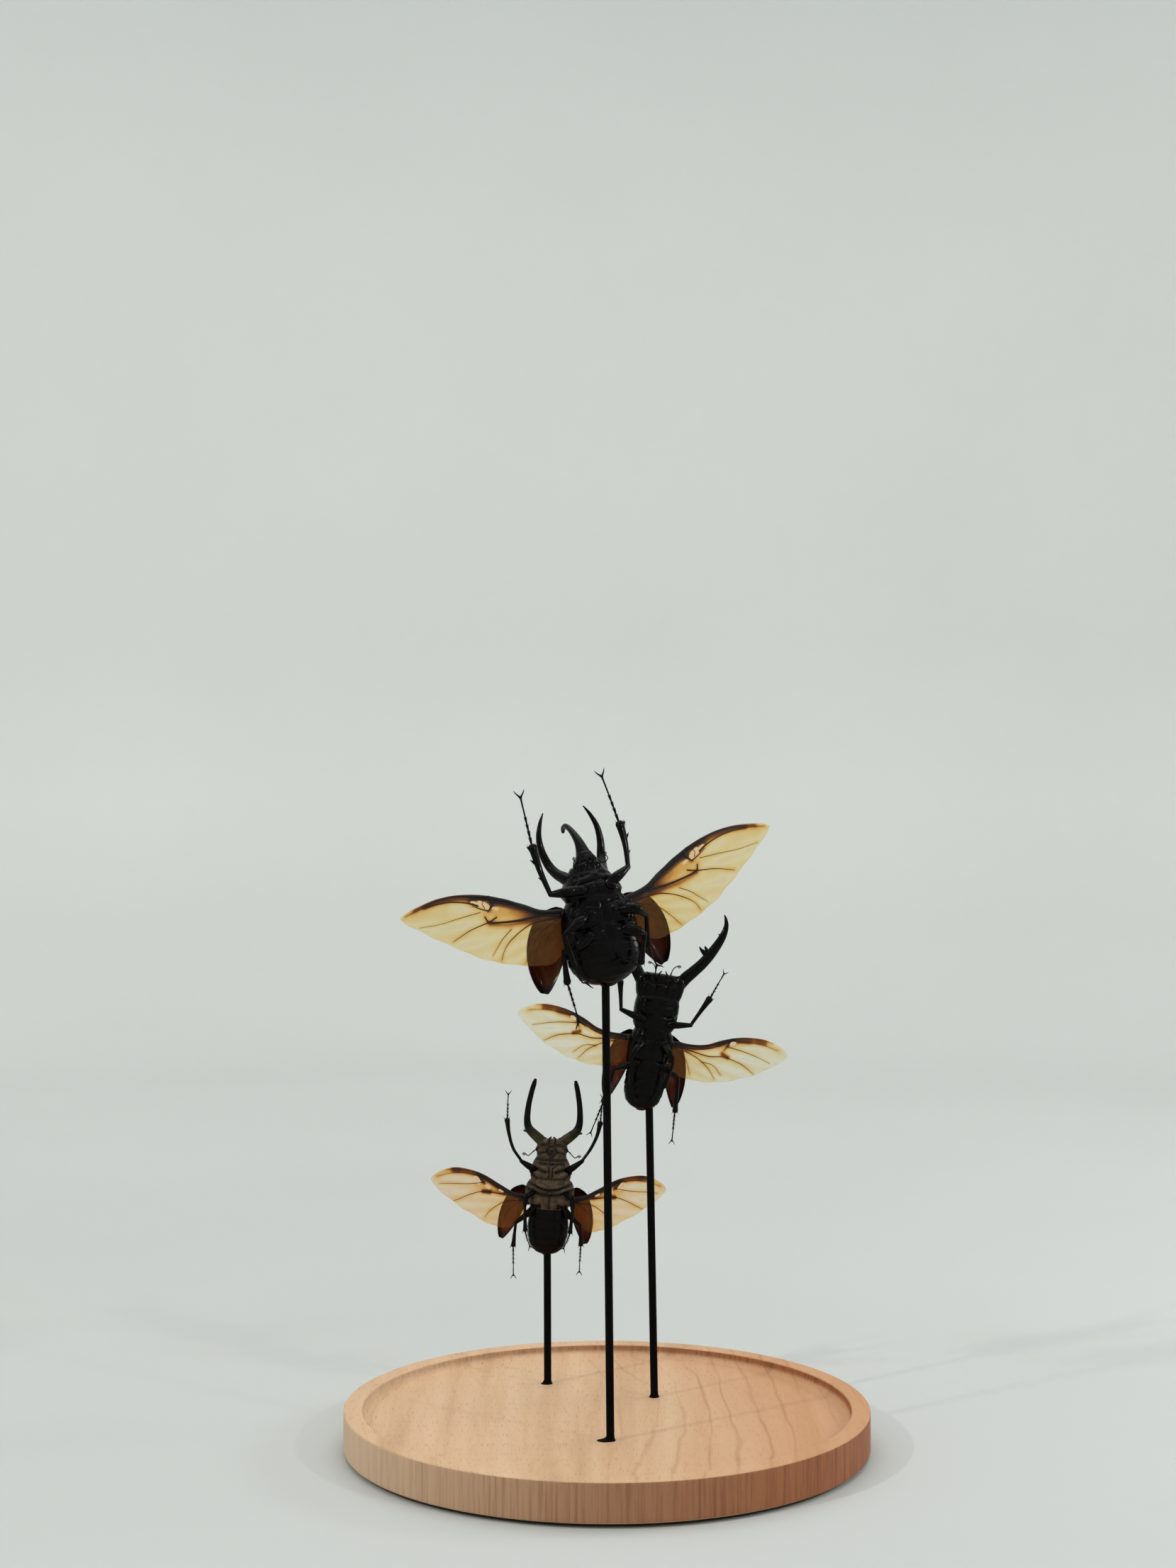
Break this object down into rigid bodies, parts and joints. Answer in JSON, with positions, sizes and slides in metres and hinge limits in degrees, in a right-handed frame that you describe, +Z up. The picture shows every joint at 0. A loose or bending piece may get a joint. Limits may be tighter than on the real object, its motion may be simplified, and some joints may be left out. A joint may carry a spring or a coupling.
{
  "type": "mounted beetle trio on a round wooden tray",
  "caption": "Dried horned and stag beetles with spread wings, seen from below, each on a thin upright rod in a shallow round wooden display tray.",
  "frame": {"origin": "middle of the underside of the tray's felt pad, at the level it rests on", "axes": "+Z up, -Y towards the viewer, who sees the undersides of the beetles; +X to the viewer's right"},
  "size_m": [0.25, 0.25, 0.322],
  "materials": {
    "beech": "bare pale beech, fine sanded, long grain lines on the floor of the tray",
    "felt": "thin black felt pad",
    "rod_black": "matte black paint on straight wire rod",
    "black_cuticle": "glossy black insect cuticle with fine punctures",
    "bronze_cuticle": "olive bronze insect cuticle with a dull metallic sheen",
    "downy_cuticle": "brown cuticle under short grey-brown down",
    "elytron_brown": "dark red-brown horny wing case, slightly translucent",
    "wing_membrane": "clear amber membrane with brown veins"
  },
  "bodies": {
    "root": {"tray": "beech", "felt_pad": "felt", "rod_atlas": "rod_black", "rod_black_stag": "rod_black", "rod_bronze_stag": "rod_black", "atlas_abdomen": "black_cuticle", "atlas_hind_thorax": "black_cuticle", "atlas_prothorax": "black_cuticle", "atlas_head": "black_cuticle", "atlas_antenna_left": "black_cuticle", "atlas_wing_left": "wing_membrane", "atlas_elytron_left": "elytron_brown", "atlas_antenna_right": "black_cuticle", "atlas_wing_right": "wing_membrane", "atlas_elytron_right": "elytron_brown", "atlas_leg_front_left": "black_cuticle", "atlas_leg_front_right": "black_cuticle", "atlas_leg_mid_left": "black_cuticle", "atlas_leg_mid_right": "black_cuticle", "atlas_leg_hind_left": "black_cuticle", "atlas_leg_hind_right": "black_cuticle", "black_stag_abdomen": "black_cuticle", "black_stag_hind_thorax": "black_cuticle", "black_stag_prothorax": "black_cuticle", "black_stag_head": "black_cuticle", "black_stag_mandible_left": "black_cuticle", "black_stag_mandible_right": "black_cuticle", "black_stag_antenna_left": "black_cuticle", "black_stag_wing_left": "wing_membrane", "black_stag_elytron_left": "elytron_brown", "black_stag_antenna_right": "black_cuticle", "black_stag_wing_right": "wing_membrane", "black_stag_elytron_right": "elytron_brown", "black_stag_leg_front_left": "black_cuticle", "black_stag_leg_front_right": "black_cuticle", "black_stag_leg_mid_left": "black_cuticle", "black_stag_leg_mid_right": "black_cuticle", "black_stag_leg_hind_left": "black_cuticle", "black_stag_leg_hind_right": "black_cuticle", "bronze_stag_abdomen": "black_cuticle", "bronze_stag_hind_thorax": "downy_cuticle", "bronze_stag_prothorax": "downy_cuticle", "bronze_stag_head": "downy_cuticle", "bronze_stag_mandible_left": "bronze_cuticle", "bronze_stag_mandible_right": "bronze_cuticle", "bronze_stag_antenna_left": "black_cuticle", "bronze_stag_wing_left": "wing_membrane", "bronze_stag_elytron_left": "elytron_brown", "bronze_stag_antenna_right": "black_cuticle", "bronze_stag_wing_right": "wing_membrane", "bronze_stag_elytron_right": "elytron_brown", "bronze_stag_leg_front_left": "black_cuticle", "bronze_stag_leg_front_right": "black_cuticle", "bronze_stag_leg_mid_left": "black_cuticle", "bronze_stag_leg_mid_right": "black_cuticle", "bronze_stag_leg_hind_left": "black_cuticle", "bronze_stag_leg_hind_right": "black_cuticle"}
  },
  "joints": []
}
